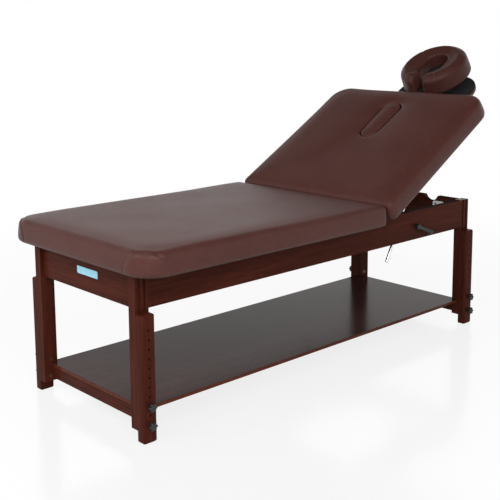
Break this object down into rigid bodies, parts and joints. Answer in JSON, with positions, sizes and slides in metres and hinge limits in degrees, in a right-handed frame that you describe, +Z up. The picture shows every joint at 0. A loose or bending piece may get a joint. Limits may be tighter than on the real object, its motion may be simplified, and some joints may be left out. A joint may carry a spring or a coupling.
{
  "type": "stationary massage table",
  "caption": "Wooden massage table with a lifting padded backrest, padded seat, face cradle, storage shelf and height-adjusting legs locked by star knobs.",
  "frame": {"origin": "on the floor, under the middle of the whole table's box, with the legs in their lowest setting", "axes": "+X from the foot to the head, +Y across to the far side, +Z up"},
  "size_m": [2.0678, 0.8, 1.1772],
  "materials": {
    "stained_wood": "dark red-brown stained and lacquered hardwood",
    "shelf_board": "dark veneered board under a glossy lacquer",
    "plywood": "sanded plywood",
    "vinyl": "chocolate brown coated upholstery over foam",
    "black_plastic": "moulded, lightly textured",
    "black_paint": "black painted plywood",
    "zinc_steel": "bright zinc plate",
    "chrome_rod": "polished chrome",
    "brass_insert": "plain turned brass"
  },
  "bodies": {
    "frame": {"side_rail_near": "stained_wood", "side_rail_far": "stained_wood", "foot_rail": "stained_wood", "head_rail": "stained_wood", "hinge_cross_rail": "stained_wood", "seat_cross_rail": "stained_wood", "corner_blocks": "stained_wood", "shelf_stretcher_foot": "stained_wood", "shelf_stretcher_head": "stained_wood", "shelf_bearer": "stained_wood", "shelf": "shelf_board", "corner_bolts": "zinc_steel", "seat_deck": "plywood", "seat_cushion": "vinyl", "hinge_leaves_seat": "zinc_steel", "hinge_pins": "zinc_steel", "knob_inserts": "brass_insert", "clamp_spacers": "zinc_steel", "head_rail_plates": "zinc_steel", "clamp_cheek_near": "zinc_steel", "clamp_pressure_plate_near": "zinc_steel", "clamp_cheek_far": "zinc_steel", "clamp_pressure_plate_far": "zinc_steel", "post_foot_near": "stained_wood", "post_foot_far": "stained_wood", "post_head_near": "stained_wood", "post_head_far": "stained_wood"},
    "backrest": {"backrest_deck": "plywood", "backrest_cushion": "vinyl", "hinge_leaves_backrest": "zinc_steel", "prop_rod_bracket_near": "zinc_steel", "prop_rod_pin_near": "zinc_steel", "cradle_socket_near": "black_plastic", "prop_rod_bracket_far": "zinc_steel", "prop_rod_pin_far": "zinc_steel", "cradle_socket_far": "black_plastic"},
    "breath_plug": {"breath_hole_plug": "vinyl"},
    "prop_rod_near": {"prop_rod_near": "chrome_rod"},
    "clamp_lever_near": {"clamp_lever_near": "black_plastic"},
    "face_cradle": {"cradle_post_near": "chrome_rod", "cradle_post_far": "chrome_rod", "cradle_bar": "black_paint", "cradle_base_board": "black_paint", "cradle_tilt_bolts": "zinc_steel"},
    "prop_rod_far": {"prop_rod_far": "chrome_rod"},
    "clamp_lever_far": {"clamp_lever_far": "black_plastic"},
    "cradle_head": {"cradle_platform": "black_paint", "face_pad": "vinyl"},
    "leg_foot_near": {"leg_foot_near": "stained_wood"},
    "knob_foot_near_upper": {"knob_foot_near_upper": "black_plastic"},
    "knob_foot_near_lower": {"knob_foot_near_lower": "black_plastic"},
    "leg_foot_far": {"leg_foot_far": "stained_wood"},
    "knob_foot_far_upper": {"knob_foot_far_upper": "black_plastic"},
    "knob_foot_far_lower": {"knob_foot_far_lower": "black_plastic"},
    "leg_head_near": {"leg_head_near": "stained_wood"},
    "knob_head_near_upper": {"knob_head_near_upper": "black_plastic"},
    "knob_head_near_lower": {"knob_head_near_lower": "black_plastic"},
    "leg_head_far": {"leg_head_far": "stained_wood"},
    "knob_head_far_upper": {"knob_head_far_upper": "black_plastic"},
    "knob_head_far_lower": {"knob_head_far_lower": "black_plastic"}
  },
  "joints": [
    {"name": "backrest_tilt", "type": "hinge", "parent": "frame", "child": "backrest", "pos_m": [0.07666, 0, 0.575], "axis": [0, -1, 0], "range_deg": [-31, 25]},
    {"name": "breath_plug_lift", "type": "slide", "parent": "backrest", "child": "breath_plug", "axis": [-0.515, 0, 0.8572], "range_m": [0, 0.09]},
    {"name": "prop_rod_swing_near", "type": "hinge", "parent": "backrest", "child": "prop_rod_near", "pos_m": [0.52114, -0.22, 0.76916], "axis": [0, -1, 0], "range_deg": [-5.15, 4.25]},
    {"name": "clamp_lever_turn_near", "type": "hinge", "parent": "frame", "child": "clamp_lever_near", "pos_m": [0.3776, -0.288, 0.471], "axis": [0, 1, 0], "range_deg": [0, 120]},
    {"name": "prop_rod_swing_far", "type": "hinge", "parent": "backrest", "child": "prop_rod_far", "pos_m": [0.52114, 0.22, 0.76916], "axis": [0, -1, 0], "range_deg": [-5.15, 4.25]},
    {"name": "clamp_lever_turn_far", "type": "hinge", "parent": "frame", "child": "clamp_lever_far", "pos_m": [0.3776, 0.288, 0.471], "axis": [0, 1, 0], "range_deg": [0, 120]},
    {"name": "face_cradle_slide", "type": "slide", "parent": "backrest", "child": "face_cradle", "axis": [0.8572, 0, 0.515], "range_m": [0, 0.13]},
    {"name": "face_cradle_tilt", "type": "hinge", "parent": "face_cradle", "child": "cradle_head", "pos_m": [0.7932, 0, 0.94546], "axis": [0, -1, 0], "range_deg": [-10, 30]},
    {"name": "leg_slide_foot_near", "type": "slide", "parent": "frame", "child": "leg_foot_near", "axis": [0, 0, -1], "range_m": [0, 0.18]},
    {"name": "knob_foot_near_upper_turn", "type": "hinge", "parent": "frame", "child": "knob_foot_near_upper", "pos_m": [-0.97135, -0.32, 0.118], "axis": [0, 1, 0], "continuous": true},
    {"name": "knob_foot_near_lower_turn", "type": "hinge", "parent": "frame", "child": "knob_foot_near_lower", "pos_m": [-0.97135, -0.32, 0.058], "axis": [0, 1, 0], "continuous": true},
    {"name": "leg_slide_foot_far", "type": "slide", "parent": "frame", "child": "leg_foot_far", "axis": [0, 0, -1], "range_m": [0, 0.18]},
    {"name": "knob_foot_far_upper_turn", "type": "hinge", "parent": "frame", "child": "knob_foot_far_upper", "pos_m": [-0.97135, 0.32, 0.118], "axis": [0, 1, 0], "continuous": true},
    {"name": "knob_foot_far_lower_turn", "type": "hinge", "parent": "frame", "child": "knob_foot_far_lower", "pos_m": [-0.97135, 0.32, 0.058], "axis": [0, 1, 0], "continuous": true},
    {"name": "leg_slide_head_near", "type": "slide", "parent": "frame", "child": "leg_head_near", "axis": [0, 0, -1], "range_m": [0, 0.18]},
    {"name": "knob_head_near_upper_turn", "type": "hinge", "parent": "frame", "child": "knob_head_near_upper", "pos_m": [0.71666, -0.32, 0.118], "axis": [0, 1, 0], "continuous": true},
    {"name": "knob_head_near_lower_turn", "type": "hinge", "parent": "frame", "child": "knob_head_near_lower", "pos_m": [0.71666, -0.32, 0.058], "axis": [0, 1, 0], "continuous": true},
    {"name": "leg_slide_head_far", "type": "slide", "parent": "frame", "child": "leg_head_far", "axis": [0, 0, -1], "range_m": [0, 0.18]},
    {"name": "knob_head_far_upper_turn", "type": "hinge", "parent": "frame", "child": "knob_head_far_upper", "pos_m": [0.71666, 0.32, 0.118], "axis": [0, 1, 0], "continuous": true},
    {"name": "knob_head_far_lower_turn", "type": "hinge", "parent": "frame", "child": "knob_head_far_lower", "pos_m": [0.71666, 0.32, 0.058], "axis": [0, 1, 0], "continuous": true}
  ],
  "couplings": [
    {"joint": "prop_rod_swing_near", "follows": "backrest_tilt", "ratio": 0.15},
    {"joint": "prop_rod_swing_far", "follows": "backrest_tilt", "ratio": 0.15}
  ]
}
